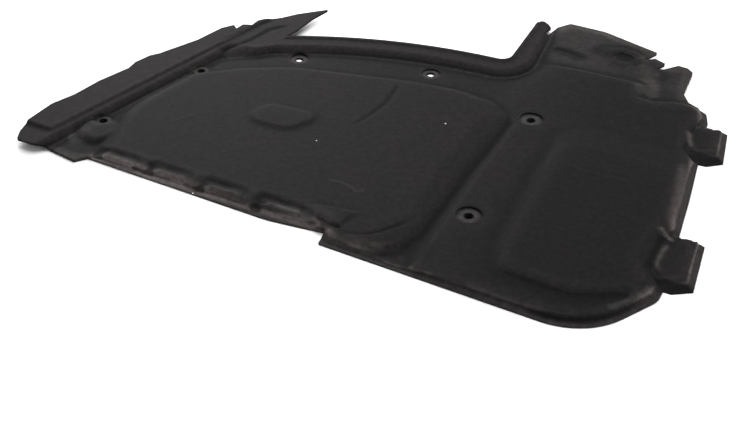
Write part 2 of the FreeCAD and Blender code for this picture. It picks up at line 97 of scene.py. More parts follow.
@dataclass(frozen=True)
class PressedLine:
    """A narrow ridge or groove that the felt keeps from its mould or its handling."""

    points: tuple[Point, ...]
    width: float
    rise: float
    fade: float = 18.0

    def rise_at(self, x: np.ndarray, y: np.ndarray) -> np.ndarray:
        """Height that the line adds.

        Args:
            x: Places across, in millimetres.
            y: Places along, in millimetres.

        Returns:
            Millimetres added at each place.
        """
        nearest = np.full(x.shape, 1e9)
        along = np.zeros(x.shape)
        start = 0.0
        for (ax, ay), (bx, by) in zip(self.points, self.points[1:]):
            length = math.hypot(bx - ax, by - ay)
            share = np.clip(((x - ax) * (bx - ax) + (y - ay) * (by - ay)) / length ** 2, 0, 1)
            away = np.hypot(x - ax - share * (bx - ax), y - ay - share * (by - ay))
            closer = away < nearest
            nearest = np.where(closer, away, nearest)
            along = np.where(closer, start + share * length, along)
            start += length
        ends = smooth_rise(np.minimum(along, start - along), -1.0, self.fade)
        return self.rise * np.exp(-((nearest / self.width) ** 2)) * ends


@dataclass(frozen=True)
class PressedPatch:
    """A low raised or sunken area with soft sides."""

    corners: tuple[Point, ...]
    rise: float
    ease: float

    def rise_at(self, x: np.ndarray, y: np.ndarray) -> np.ndarray:
        """Height that the patch adds.

        Args:
            x: Places across, in millimetres.
            y: Places along, in millimetres.

        Returns:
            Millimetres added at each place.
        """
        nearest = np.full(x.shape, 1e9)
        within = np.zeros(x.shape, bool)
        for (ax, ay), (bx, by) in zip(self.corners, self.corners[1:] + self.corners[:1]):
            length = math.hypot(bx - ax, by - ay)
            share = np.clip(((x - ax) * (bx - ax) + (y - ay) * (by - ay)) / length ** 2, 0, 1)
            away = np.hypot(x - ax - share * (bx - ax), y - ay - share * (by - ay))
            nearest = np.minimum(nearest, away)
            if by != ay:
                crosses = (ay > y) != (by > y)
                within ^= crosses & (x < (bx - ax) * (y - ay) / (by - ay) + ax)
        signed = np.where(within, nearest, -nearest)
        return self.rise * smooth_rise(signed, -self.ease / 2, self.ease / 2)


class Paint(Enum):
    """Painted attributes of the felt, by the name that its material reads."""

    # Pressed thin, so smoother and greyer; zones add painted highlights and take it off for painted shade
    PRESSED_AND_HIGHLIGHT = "pressed"
    # Raised edge with a hollow under it
    SHELL = "shell"
    # Painted bounce light on the steep walls that fall to the cut edge
    SKIRT_LIGHT = "skirt_light"
    # From -1 for painted shade in valleys to 1 for painted highlights on crests
    BEND_SHADING = "bend"


@dataclass(frozen=True)
class PaintedZone:
    """Area given painted highlight, painted shade or a scratch on top of its form; its rise is the amount.
    """

    paint: Paint
    area: PressedLine | PressedPatch


def painted_stroke(paint: Paint, points: tuple[Point, ...], width: float, amount: float,
         fade: float = 18.0) -> PaintedZone:
    """Makes a stroke of painted highlight, painted shade or a scratch along a line.

    Args:
        paint: Attribute that the stroke changes.
        points: Line that it follows, in millimetres.
        width: Width of the stroke in millimetres.
        amount: Share added in the middle of the stroke; below 0 it is taken away.
        fade: Length over which the stroke's ends run out, in millimetres.

    Returns:
        The stroke as a painted zone.
    """
    return PaintedZone(paint, PressedLine(points, width, amount, fade))


@dataclass(frozen=True)
class FingerBump:
    """One of the four finger-long bumps of the near left wall, its pit, its tip and its recess."""

    # Painted highlights lie along the top and on the tip, and painted shade along the pit line
    lit_crest: tuple[Point, ...]
    crest_highlight: float
    pit_line: tuple[Point, ...]
    pit_width: float
    tip: tuple[Point, ...]
    pit: tuple[Point, ...]
    run_out: tuple[Point, ...]
    run_out_rise: float


FINGER_BUMPS = (
    FingerBump(lit_crest=((-372, -377), (-312, -377)), crest_highlight=0.1,
               pit_line=((-390, -378), (-386, -370)), pit_width=8, tip=((-377, -375), (-371, -374)),
               pit=((-396, -384), (-378, -384), (-377, -368), (-395, -366)),
               run_out=((-350, -371), (-300, -370)), run_out_rise=1.6),
    FingerBump(lit_crest=((-270, -373), (-212, -371)), crest_highlight=0.1,
               pit_line=((-289, -380), (-285, -372)), pit_width=8, tip=((-277, -375), (-271, -374)),
               pit=((-296, -386), (-278, -386), (-278, -370), (-296, -368)),
               run_out=((-250, -366), (-200, -365)), run_out_rise=1.6),
    FingerBump(lit_crest=((-172, -370), (-118, -367)), crest_highlight=0.1,
               pit_line=((-192, -380), (-188, -372)), pit_width=8, tip=((-181, -374), (-175, -373)),
               pit=((-200, -387), (-182, -387), (-182, -370), (-199, -367)),
               run_out=((-152, -363), (-100, -360)), run_out_rise=1.6),
    FingerBump(lit_crest=((-66, -366), (-12, -363)), crest_highlight=0.45,
               pit_line=((-90, -382), (-86, -368)), pit_width=9, tip=((-74, -367), (-68, -366)),
               pit=((-98, -388), (-80, -388), (-78, -366), (-96, -362)),
               run_out=((-48, -358), (-8, -355)), run_out_rise=1.2),
)

# Lines followed by both the relief and the painted light and shade, in millimetres from the middle of the
# pad
LONG_CREASE = ((-60, 39), (-53, 5), (-49, -33), (-56, -82), (-65, -120))
SCRATCH = ((-21, -273), (-1, -271), (22, -274), (34, -282), (42, -266))
NOTCHED_FOLD = ((8, -360), (30, -367), (52, -369), (54, -351), (56, -331))
FLANGE_FOOT = ((-474, -376), (-455, -334), (-439, -261), (-429, -176), (-414, -96), (-404, -1))
ISLAND_FOOT = ((-437, -357), (-417, -353), (-410, -336), (-412, -313))
HORN_BEND = ((-408, -23), (-398, 6), (-385, 24), (-376, 45), (-371, 72), (-367, 98), (-355, 116),
             (-342, 130))

# Lines that several strokes of painted light and painted shade share
FOOT_CORNER = ((-458, -374), (-446, -363), (-438, -350))
LIP_END = ((-392, -20), (-369, 1))
FLAP_EDGE = ((303, 252), (320, 238), (323, 222), (347, 215))
SLOT = ((128, 309), (159, 308), (190, 299))
NEAR_TAB_ROOT = ((485, -168), (482, -187), (483, -218), (491, -238))
NEAR_TAB_PUCKER = ((464, -146), (478, -154), (490, -160))


@dataclass(frozen=True)
class FineMarks:
    """Creases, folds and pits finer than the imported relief, one field for each place on the pad."""

    # Handling creases of the left pillow
    pillow: tuple[PressedLine, ...] = (
        PressedLine(LONG_CREASE, 3.2, -1.4),
        PressedLine(((-224, -38), (-213, -4), (-203, 26)), 4.0, 0.5),
        PressedLine(((-290, -78), (-284, -54), (-279, -33)), 4.0, 0.5),
        PressedLine(((-306, -197), (-298, -158), (-286, -138), (-263, -158)), 3.0, 0.4),
        PressedLine(((-338, -262), (-324, -236), (-313, -216)), 3.0, 0.6),
        PressedLine(SCRATCH, 1.8, 0.9, 8.0),
    )
    # Creases round the pillow's near right corner, and the notched fold beside the step
    pillow_corner: tuple[PressedLine, ...] = (
        PressedLine(((56, -376), (75, -374), (95, -365), (111, -349), (124, -328), (136, -302)), 3.0, -1.3),
        PressedLine(((121, -382), (137, -373), (149, -359), (153, -341)), 2.5, -1.0),
        PressedLine(NOTCHED_FOLD, 3.0, -1.6, 8.0),
    )
    # The recesses run out towards their right ends, and the near walls into the cut edge
    near_walls: tuple[PressedLine, ...] = (
        *(PressedLine(bump.run_out, 9.0, bump.run_out_rise, 24.0) for bump in FINGER_BUMPS),
        PressedLine(((185, -397), (300, -398), (352, -398), (397, -393)), 4.5, 4.2, 60.0),
        PressedLine(((-400, -391), (-320, -388), (-240, -385), (-114, -381), (-30, -377), (20, -375)),
                    4.0, 2.0, 20.0),
    )
    # Feet of the flange's slope and of the round island
    feet: tuple[PressedLine, ...] = (
        PressedLine(FLANGE_FOOT, 8.0, 1.3, 30.0),
        PressedLine(ISLAND_FOOT, 6.0, 1.2, 10.0),
    )
    # Crease of the right pillow
    right_pillow: tuple[PressedLine, ...] = (
        PressedLine(((288, -55), (317, -64), (345, -64), (377, -60), (409, -50)), 2.2, 0.5),
    )
    # The flange's two bends run out along the horn
    horn: tuple[PressedLine, ...] = (
        PressedLine(HORN_BEND, 4.5, -2.6, 20.0),
        PressedLine(((-422, 0), (-413, 34), (-404, 71), (-393, 113), (-375, 150), (-345, 185)),
                    4.0, -1.2, 30.0),
    )
    # Puckers behind the two tabs
    puckers: tuple[PressedLine, ...] = (
        PressedLine(((466, -146), (478, -154), (490, -160)), 3.5, 1.6, 6.0),
        *(PressedLine(pucker, 3.0, 0.9, 10.0) for pucker in (
            ((471, 171), (479, 138), (487, 106)), ((448, 84), (467, 95), (487, 106)),
            ((514, -154), (524, -195), (533, -235)), ((485, -254), (510, -243), (535, -231)))),
    )
    # Fold of the pillow's near corner beside the step, and pits at the left ends of the finger bumps
    patches: tuple[PressedPatch, ...] = (
        PressedPatch(((-19, -349), (2, -337), (41, -330), (60, -326), (54, -367), (28, -365), (3, -359)),
                     1.6, 5.0),
        *(PressedPatch(bump.pit, -2.4, 10.0) for bump in FINGER_BUMPS),
    )
    # The dimple's rim and the fold of the thin flap are only faintly drawn, so the relief is calmed there
    calmed: tuple[PressedLine, ...] = (
        PressedLine(((205, 341), (242, 361), (266, 359), (293, 339), (322, 310), (338, 262), (345, 224)),
                    15.0, 1.0, 6.0),
    )

    def all_marks(self) -> tuple[PressedLine | PressedPatch, ...]:
        """All the marks that raise or sink the felt."""
        return (self.pillow + self.pillow_corner + self.near_walls + self.feet + self.right_pillow
                + self.horn + self.puckers + self.patches)


@dataclass(frozen=True)
class PaintedLightAndWear:
    """Painted highlights and painted shade on the felt, and a scratch, one field for each place on the pad.
    """

    # Near right rim: painted bounce light taken off, and painted shade at the foot of its wall;
    # thin painted highlights on the wall and one at the corner
    near_rim: tuple[PaintedZone, ...] = (
        painted_stroke(Paint.SKIRT_LIGHT, ((185, -403), (330, -403), (440, -378), (484, -325), (500, -292)), 45, -1.0, 50),
        painted_stroke(Paint.PRESSED_AND_HIGHLIGHT, ((453, -350), (471, -322), (488, -291)), 6, 0.2, 12),
        painted_stroke(Paint.PRESSED_AND_HIGHLIGHT, ((215, -398), (290, -399), (350, -399), (385, -396)), 3, 0.25, 40),
        painted_stroke(Paint.PRESSED_AND_HIGHLIGHT, ((258, -392), (300, -394), (352, -394), (390, -390)), 3, 0.14, 20),
        painted_stroke(Paint.SKIRT_LIGHT, ((182, -387), (212, -383)), 6, -0.4, 4),
        painted_stroke(Paint.BEND_SHADING, ((330, -400), (407, -394), (451, -361), (488, -306)), 5, -0.7, 60),
    )
    # Pillow's near corner: painted bounce light by the edge, painted shade in the fold and the creases,
    # and the pale scratch beside them
    pillow_corner: tuple[PaintedZone, ...] = (
        painted_stroke(Paint.SKIRT_LIGHT, ((30, -398), (110, -400), (215, -396)), 12, -0.5, 20),
        painted_stroke(Paint.SKIRT_LIGHT, ((42, -384), (82, -386), (107, -384), (134, -372)), 9, 0.22, 14),
        painted_stroke(Paint.SKIRT_LIGHT, ((-6, -352), (16, -350), (40, -350)), 9, 0.10, 10),
        painted_stroke(Paint.BEND_SHADING, NOTCHED_FOLD, 3, -0.7, 6),
        painted_stroke(Paint.BEND_SHADING, ((56, -376), (75, -374), (95, -365), (111, -349), (130, -315)), 3, -0.6),
        painted_stroke(Paint.PRESSED_AND_HIGHLIGHT, SCRATCH, 2, 0.12, 6),
        painted_stroke(Paint.BEND_SHADING, LONG_CREASE[:4], 4, -0.8, 20),
    )
    # Painted highlights on the groove's two crests, on the crests of the finger bumps and on the ledge
    # under them, and painted shade beside them
    groove: tuple[PaintedZone, ...] = (
        painted_stroke(Paint.BEND_SHADING, ((182, -325), (185, -355), (188, -395)), 14, -0.5, 20),
        *(painted_stroke(Paint.PRESSED_AND_HIGHLIGHT, bump.lit_crest, 4.5, bump.crest_highlight, 12) for bump in FINGER_BUMPS),
        painted_stroke(Paint.BEND_SHADING, ((-385, -375), (-320, -373), (-240, -367), (-114, -364), (-30, -358), (0, -356)),
             5.5, 0.6, 10),
        painted_stroke(Paint.SKIRT_LIGHT, ((-405, -390), (-320, -387), (-240, -382), (-114, -378), (-30, -373), (18, -371)),
             4, -0.5, 10),
        painted_stroke(Paint.BEND_SHADING, ((165, 20), (167, -54), (172, -148), (180, -277), (188, -380)), 9, -0.65),
        painted_stroke(Paint.BEND_SHADING, ((153, 20), (155, -54), (160, -148), (168, -277), (174, -370)), 6, 0.25),
        painted_stroke(Paint.BEND_SHADING, ((254, -65), (258, -130), (269, -238), (281, -324)), 16, -0.4, 30),
    )
    # Painted shade in the pits of the finger bumps, painted highlights on their tips, and the walls
    # of the recesses a little lighter
    finger_bumps: tuple[PaintedZone, ...] = (
        *(painted_stroke(Paint.BEND_SHADING, bump.pit_line, bump.pit_width, -0.8, 1) for bump in FINGER_BUMPS),
        *(painted_stroke(Paint.PRESSED_AND_HIGHLIGHT, bump.tip, 3.5, 0.35, 1) for bump in FINGER_BUMPS),
        painted_stroke(Paint.PRESSED_AND_HIGHLIGHT, ((-396, -362), (-260, -356), (-110, -349), (-12, -345)), 7, 0.05, 10),
    )
    # Painted bounce light and highlights on the slopes towards the right edge and the near left edge
    edge_slopes: tuple[PaintedZone, ...] = (
        painted_stroke(Paint.SKIRT_LIGHT, ((480, -140), (473, -107), (458, -15), (448, 45)), 7, 0.3, 30),
        painted_stroke(Paint.SKIRT_LIGHT, ((486, -95), (470, 1), (463, 50)), 3.5, 0.4, 20),
        painted_stroke(Paint.SKIRT_LIGHT, ((480, -118), (465, -10), (455, 50)), 4, -0.4, 20),
        painted_stroke(Paint.SKIRT_LIGHT, ((-405, -387), (-200, -387), (-60, -386), (25, -378)), 7, 0.65, 15),
        painted_stroke(Paint.BEND_SHADING, ((-405, -393), (-320, -391), (-240, -387), (-114, -383), (-30, -379), (24, -376)),
             5, 1.0, 8),
    )
    # Painted light on the floor and foot of the flange and on the island's foot where shadow falls,
    # less at the lip's left end, and painted shade along the bends of the horn
    flange_foot: tuple[PaintedZone, ...] = (
        painted_stroke(Paint.BEND_SHADING, ((-466, -376), (-454, -346), (-444, -310)), 11, 0.55, 10),
        painted_stroke(Paint.SKIRT_LIGHT, ((-476, -384), (-452, -392), (-425, -396), (-400, -386)), 16, -0.15, 6),
        painted_stroke(Paint.PRESSED_AND_HIGHLIGHT, ((-468, -366), (-456, -350), (-448, -328)), 8, 0.13, 10),
        painted_stroke(Paint.PRESSED_AND_HIGHLIGHT, FOOT_CORNER, 9, 0.1, 6),
        painted_stroke(Paint.BEND_SHADING, FOOT_CORNER, 9, 0.5, 6),
        painted_stroke(Paint.BEND_SHADING, FLANGE_FOOT[2:], 7, 0.3, 20),
        painted_stroke(Paint.BEND_SHADING, ISLAND_FOOT, 7, 0.35, 10),
        painted_stroke(Paint.SKIRT_LIGHT, LIP_END, 9, -0.4, 4),
        painted_stroke(Paint.PRESSED_AND_HIGHLIGHT, LIP_END, 9, -0.4, 4),
        painted_stroke(Paint.BEND_SHADING, HORN_BEND[2:], 9, -1.8, 20),
        painted_stroke(Paint.PRESSED_AND_HIGHLIGHT, HORN_BEND[2:], 9, -1.8, 20),
        painted_stroke(Paint.BEND_SHADING, ((-418, 16), (-404, 71), (-393, 113), (-380, 140)), 4, -0.5, 16),
        painted_stroke(Paint.PRESSED_AND_HIGHLIGHT, ((-462, -372), (-448, -330), (-426, -261), (-414, -176), (-400, -96),
                             (-388, -20)), 13, 0.09, 20),
    )
    # Thin far sheet a little lighter; painted shade in its slot and its dimple, and painted light
    # on the flap beside them where shade falls
    far_sheet: tuple[PaintedZone, ...] = (
        PaintedZone(Paint.PRESSED_AND_HIGHLIGHT, PressedPatch(((75, 420), (95, 300), (140, 262), (326, 266), (348, 222),
                                                 (445, 228), (445, 420)), 0.13, 24)),
        painted_stroke(Paint.PRESSED_AND_HIGHLIGHT, SLOT, 9, -1.2, 4),
        painted_stroke(Paint.PRESSED_AND_HIGHLIGHT, ((238, 340), (272, 338)), 22, -1.2, 4),
        painted_stroke(Paint.PRESSED_AND_HIGHLIGHT, ((205, 342), (226, 352), (249, 360), (273, 357), (295, 334), (334, 290)),
             14, -1.8, 3),
        painted_stroke(Paint.PRESSED_AND_HIGHLIGHT, FLAP_EDGE, 9, 0.16, 6),
        painted_stroke(Paint.SKIRT_LIGHT, ((286, 326), (302, 310), (318, 285), (330, 252), (337, 222)), 15, 0.17, 6),
        painted_stroke(Paint.SKIRT_LIGHT, ((322, 314), (345, 304)), 12, 0.15, 4),
        painted_stroke(Paint.BEND_SHADING, ((286, 322), (293, 313), (311, 290), (325, 258), (335, 224)), 10, 0.6, 6),
        painted_stroke(Paint.PRESSED_AND_HIGHLIGHT, ((325, 300), (345, 285), (363, 262)), 24, 0.12, 4),
        painted_stroke(Paint.BEND_SHADING, FLAP_EDGE, 11, 0.6, 4),
        painted_stroke(Paint.BEND_SHADING, SLOT, 7, -1.0, 4),
        painted_stroke(Paint.BEND_SHADING, ((238, 342), (270, 338)), 12, -0.9, 4),
    )
    # Tabs: painted shade on their near sides, painted light on their end strips, and painted
    # highlights on their roots and puckers where the wall meets them
    tabs: tuple[PaintedZone, ...] = (
        painted_stroke(Paint.SKIRT_LIGHT, ((450, 84), (500, 92)), 22, -1.4, 4),
        painted_stroke(Paint.SKIRT_LIGHT, ((485, -252), (543, -246)), 22, -1.4, 4),
        painted_stroke(Paint.PRESSED_AND_HIGHLIGHT, ((444, 68), (512, 80)), 13, -1.6, 4),
        painted_stroke(Paint.PRESSED_AND_HIGHLIGHT, ((480, -263), (554, -254)), 13, -1.6, 4),
        painted_stroke(Paint.BEND_SHADING, ((440, 72), (514, 84)), 15, -1.2, 4),
        painted_stroke(Paint.BEND_SHADING, ((478, -262), (558, -251)), 15, -1.2, 4),
        painted_stroke(Paint.SKIRT_LIGHT, ((497, 92), (489, 160)), 5, 1.5, 4),
        painted_stroke(Paint.SKIRT_LIGHT, ((544, -236), (532, -148)), 5, 1.5, 4),
        painted_stroke(Paint.SKIRT_LIGHT, ((430, 140), (438, 114), (447, 96)), 4, 0.5, 8),
        painted_stroke(Paint.BEND_SHADING, ((430, 140), (438, 114), (450, 90)), 6, 0.8, 8),
        painted_stroke(Paint.SKIRT_LIGHT, NEAR_TAB_ROOT, 4, 0.6, 8),
        painted_stroke(Paint.BEND_SHADING, NEAR_TAB_ROOT, 6, 0.9, 8),
        painted_stroke(Paint.PRESSED_AND_HIGHLIGHT, ((472, 98), (464, 146)), 16, 0.07, 4),
        painted_stroke(Paint.SKIRT_LIGHT, NEAR_TAB_PUCKER, 3.5, 0.7, 4),
        painted_stroke(Paint.BEND_SHADING, NEAR_TAB_PUCKER, 6, 0.9, 4),
        painted_stroke(Paint.PRESSED_AND_HIGHLIGHT, ((180, 264), (252, 266), (308, 264)), 3, 0.14, 14),
    )
    # Painted shade: the fields are darker towards the right
    right_fields: tuple[PaintedZone, ...] = (
        *(PaintedZone(Paint.BEND_SHADING, PressedPatch(((left, 420), (left, -440), (600, -440), (600, 420)),
                                               amount, ease))
          for left, amount, ease in ((-190, -0.3, 220), (230, -0.26, 90))),
    )

    def zones(self) -> tuple[PaintedZone, ...]:
        """All the painted highlights, painted shade and the scratch, in the order in which they are
        painted.
        """
        return (self.near_rim + self.pillow_corner + self.groove + self.finger_bumps + self.edge_slopes
                + self.flange_foot + self.far_sheet + self.tabs + self.right_fields)


@dataclass
class HeightGrid:
    """The pad's upper face and its thickness on a regular grid, in millimetres."""

    pitch: float
    low: Point
    heights: np.ndarray
    thickness: np.ndarray
    inside: np.ndarray

    @classmethod
    def sampled(cls, source: bpy.types.Object, pitch: float) -> HeightGrid:
        """Measures a mesh from above.

        Args:
            source: Object whose mesh is in metres at the origin.
            pitch: Distance between grid lines in millimetres.

        Returns:
            The grid over the whole mesh, with a margin of a few lines.
        """
        tree = BVHTree.FromPolygons([v.co for v in source.data.vertices],
                                    [tuple(p.vertices) for p in source.data.polygons])
        corners = np.array([v.co for v in source.data.vertices]) / MM
        low = corners.min(0) - 6 * pitch
        count = np.ceil((corners.max(0) + 6 * pitch - low) / pitch).astype(int) + 1
        heights = np.zeros((count[1], count[0]))
        thickness = np.zeros_like(heights)
        inside = np.zeros(heights.shape, bool)
        down = Vector((0, 0, -1))
        for row in range(count[1]):
            y = (low[1] + row * pitch) * MM
            for column in range(count[0]):
                x = (low[0] + column * pitch) * MM
                hit = tree.ray_cast(Vector((x, y, 1.0)), down)[0]
                if hit is None:
                    continue
                under = tree.ray_cast(hit + down * 0.0005, down)[0]
                heights[row, column] = hit.z / MM
                thickness[row, column] = (hit.z - (under.z if under else 0.0)) / MM
                inside[row, column] = True
        return cls(pitch, (float(low[0]), float(low[1])), heights, thickness, inside)

    def places(self) -> tuple[np.ndarray, np.ndarray]:
        """The x and y of every grid point, in millimetres."""
        rows, columns = self.heights.shape
        return np.meshgrid(self.low[0] + self.pitch * np.arange(columns),
                           self.low[1] + self.pitch * np.arange(rows))

    def spread(self, values: np.ndarray, sigma: float) -> np.ndarray:
        """Blurs an array by a bell curve.

        Args:
            values: One number for each grid point.
            sigma: Width of the curve in millimetres.

        Returns:
            The blurred array.
        """
        reach = max(1, int(round(3 * sigma / self.pitch)))
        weights = np.exp(-0.5 * (np.arange(-reach, reach + 1) * self.pitch / sigma) ** 2)
        weights /= weights.sum()
        for axis in (0, 1):
            total = np.zeros_like(values)
            for step, weight in zip(range(-reach, reach + 1), weights):
                total += weight * np.roll(values, step, axis)
            values = total
        return values

    def softened(self, values: np.ndarray, sigma: float) -> np.ndarray:
        """Blurs values on the pad alone, and carries them a little past its edge.

        Args:
            values: One number for each grid point.
            sigma: Width of the blur in millimetres.

        Returns:
            The blurred values.
        """
        weight = self.spread(self.inside.astype(float), sigma)
        near = self.spread(np.where(self.inside, values, 0.0), sigma)
        wide = self.spread(self.inside.astype(float), 4 * sigma)
        far = self.spread(np.where(self.inside, values, 0.0), 4 * sigma)
        spare = far / np.maximum(wide, 1e-6)
        return np.where(weight > 0.02, near / np.maximum(weight, 1e-6), spare)

    def at(self, values: np.ndarray, points: np.ndarray) -> np.ndarray:
        """Reads values between the grid points.

        Args:
            values: One number for each grid point.
            points: Rows of x and y in millimetres.

        Returns:
            One number for each point.
        """
        u = (points[:, 0] - self.low[0]) / self.pitch
        v = (points[:, 1] - self.low[1]) / self.pitch
        column = np.clip(u.astype(int), 0, values.shape[1] - 2)
        row = np.clip(v.astype(int), 0, values.shape[0] - 2)
        s, t = u - column, v - row
        lower = values[row, column] * (1 - s) + values[row, column + 1] * s
        upper = values[row + 1, column] * (1 - s) + values[row + 1, column + 1] * s
        return lower * (1 - t) + upper * t


def add_node(tree: bpy.types.NodeTree, kind: str, settings: dict | None = None,
             links: dict | None = None) -> bpy.types.Node:
    """Adds a shader node with its settings and its incoming links.

    Args:
        tree: Node tree that gets the node.
        kind: Blender's type name of the node.
        settings: Attribute names, or input names or numbers, and their values.
        links: Input names or numbers and the output sockets that feed them.

    Returns:
        The new node.
    """
    node = tree.nodes.new(kind)
    for name, value in (settings or {}).items():
        if isinstance(name, str) and hasattr(node, name):
            setattr(node, name, value)
        else:
            node.inputs[name].default_value = value
    for name, socket in (links or {}).items():
        tree.links.new(socket, node.inputs[name])
    return node


@dataclass(frozen=True)
class NeedledFelt:
    """Black polyester felt, needled and then pressed hot between two moulds.

    The lofted fibre is matt and nearly black with a faint haze of loose fibre ends that shows
    at a flat angle. Where the mould pressed it thin, it is smoother and greyer. Crests get painted
    highlights, valleys painted shade, and the walls near the cut edge painted bounce light.
    """

    lofted: str = "#171717"
    lofted_brown: str = "#191717"
    # Pressed felt, greyer; painted highlights also mix towards it
    pressed: str = "#565252"
    shell: str = "#1d1b1b"
    # Colour of the painted bounce light on the walls near the cut edge
    skirt_light: str = "#544e4d"
    # Painted highlight on crests, and painted shade in valleys and holes
    lit_crest: str = "#3c3939"
    valley_shade: str = "#0b0b0b"
    lint: str = "#d8d8d4"
    # Blotches of dye, clumps of fibre, and single fibres drawn coarser than the real 0.05 mm to show
    blotch_mm: float = 70.0
    clump_mm: float = 9.0
    fibre_mm: float = 2.2
    # Specks of pale lint: place and radius in millimetres
    specks: tuple[tuple[float, float, float, float], ...] = (
        (68.3, -39.9, 16.0, 1.3), (-93.9, -187.3, 16.0, 1.0), (-196.0, -389.0, 3.2, 1.3),
    )

    def material(self) -> bpy.types.Material:
        """Builds the material.

        Returns:
            The finished felt.
        """
        felt = bpy.data.materials.new("needled_felt_black")
        felt.use_nodes = True
        tree = felt.node_tree
        tree.nodes.clear()
        place = add_node(tree, "ShaderNodeTexCoord").outputs["Object"]
        shade = add_node(tree, "ShaderNodeBsdfPrincipled", {
            "Roughness": 0.62, "IOR": 1.45, "Specular IOR Level": 0.03,
            "Sheen Weight": 0.025, "Sheen Roughness": 0.45, "Sheen Tint": linear("#f2efef"),
        })
        output = add_node(tree, "ShaderNodeOutputMaterial")
        tree.links.new(self._colour(tree, place), shade.inputs["Base Color"])
        tree.links.new(self._relief(tree, place), shade.inputs["Normal"])
        tree.links.new(shade.outputs[0], output.inputs["Surface"])
        return felt

    def _noise(self, tree: bpy.types.NodeTree, place: bpy.types.NodeSocket, size_mm: float,
               detail: float = 3.0) -> bpy.types.NodeSocket:
        """Noise whose spots are about size_mm across."""
        return add_node(tree, "ShaderNodeTexNoise",
                        {"Scale": 1 / (size_mm * MM), "Detail": detail, "Roughness": 0.6},
                        {"Vector": place}).outputs["Fac"]

    def _mixed(self, tree: bpy.types.NodeTree, share: object, first: object, second: object,
               blend: str = "MIX") -> bpy.types.NodeSocket:
        """Mixes two colours by a share; each of the three is a socket or a constant.

        Args:
            tree: The material's node tree.
            share: How much of the second colour there is.
            first: Colour where the share is 0.
            second: Colour where the share is 1.
            blend: Blender's name of the way in which they mix.

        Returns:
            The mixed colour.
        """
        node = add_node(tree, "ShaderNodeMix", {"data_type": "RGBA", "blend_type": blend})
        for index, value in ((0, share), (6, first), (7, second)):
            if isinstance(value, bpy.types.NodeSocket):
                tree.links.new(value, node.inputs[index])
            else:
                node.inputs[index].default_value = value
        return node.outputs[2]

    def _ramp(self, tree: bpy.types.NodeTree, value: bpy.types.NodeSocket, low: float, high: float,
              top: float = 1.0, floor: float = 0.0) -> bpy.types.NodeSocket:
        """Maps a value from low..high to floor..top, clamped and eased."""
        return add_node(tree, "ShaderNodeMapRange", {
            "interpolation_type": "SMOOTHSTEP", "From Min": low, "From Max": high,
            "To Min": floor, "To Max": top}, {"Value": value}).outputs["Result"]

    def _painted_attribute(self, tree: bpy.types.NodeTree, paint: Paint) -> bpy.types.NodeSocket:
        """One of the piece's own painted attributes."""
        return add_node(tree, "ShaderNodeAttribute", {"attribute_name": paint.value}).outputs["Fac"]

    def _colour(self, tree: bpy.types.NodeTree, place: bpy.types.NodeSocket) -> bpy.types.NodeSocket:
        """Fibre colour: blotches, pressed zones, painted bounce light, highlights and shade, and a few
        specks.

        Args:
            tree: The material's node tree.
            place: Object coordinates.

        Returns:
            The colour of the felt.
        """
        blotch = self._ramp(tree, self._noise(tree, place, self.blotch_mm), 0.42, 0.62)
        colour = self._mixed(tree, blotch, linear(self.lofted), linear(self.lofted_brown))
        # Pressed felt is greyer; painted highlights come in through the same attribute
        colour = self._mixed(tree, self._painted_attribute(tree, Paint.PRESSED_AND_HIGHLIGHT), colour, linear(self.pressed))
        colour = self._mixed(tree, self._painted_attribute(tree, Paint.SHELL), colour, linear(self.shell))
        # Painted bounce light on the walls near the cut edge
        colour = self._mixed(tree, self._painted_attribute(tree, Paint.SKIRT_LIGHT), colour, linear(self.skirt_light))
        # Painted highlight on crests and painted shade in valleys and in the seats' holes
        bend = self._painted_attribute(tree, Paint.BEND_SHADING)
        crest_light = self._ramp(tree, bend, 0.05, 0.9, 0.12)
        colour = self._mixed(tree, crest_light, colour, linear(self.lit_crest))
        shaded = self._ramp(tree, bend, -0.15, -0.9, 0.75)
        colour = self._mixed(tree, shaded, colour, linear(self.valley_shade))
        for size, strength in ((self.clump_mm, 0.20), (self.fibre_mm, 0.22)):
            noise = self._noise(tree, place, size)
            spots = self._ramp(tree, noise, 0.3, 0.7, 1 + strength, 1 - strength)
            grey = add_node(tree, "ShaderNodeCombineColor", links={i: spots for i in range(3)})
            colour = self._mixed(tree, 1.0, colour, grey.outputs[0], "MULTIPLY")
        for x, y, z, radius in self.specks:
            away = add_node(tree, "ShaderNodeVectorMath",
                            {"operation": "DISTANCE", 1: (x * MM, y * MM, z * MM)}, {0: place})
            spot = self._ramp(tree, away.outputs["Value"], radius * 1.3 * MM, radius * 0.7 * MM)
            colour = self._mixed(tree, spot, colour, linear(self.lint))
        return colour

    def _relief(self, tree: bpy.types.NodeTree, place: bpy.types.NodeSocket) -> bpy.types.NodeSocket:
        """Bump of fibre clumps and single fibres, flatter where the felt is pressed.

        Args:
            tree: The material's node tree.
            place: Object coordinates.

        Returns:
            The bumped normal.
        """
        normal = None
        loose = self._ramp(tree, self._painted_attribute(tree, Paint.PRESSED_AND_HIGHLIGHT), 0.0, 1.0, 0.35, 1.0)
        for size, depth in ((self.clump_mm, 0.22), (self.fibre_mm, 0.22)):
            links = {"Height": self._noise(tree, place, size), "Strength": loose}
            if normal is not None:
                links["Normal"] = normal
            normal = add_node(tree, "ShaderNodeBump", {"Distance": depth * MM}, links).outputs[0]
        return normal


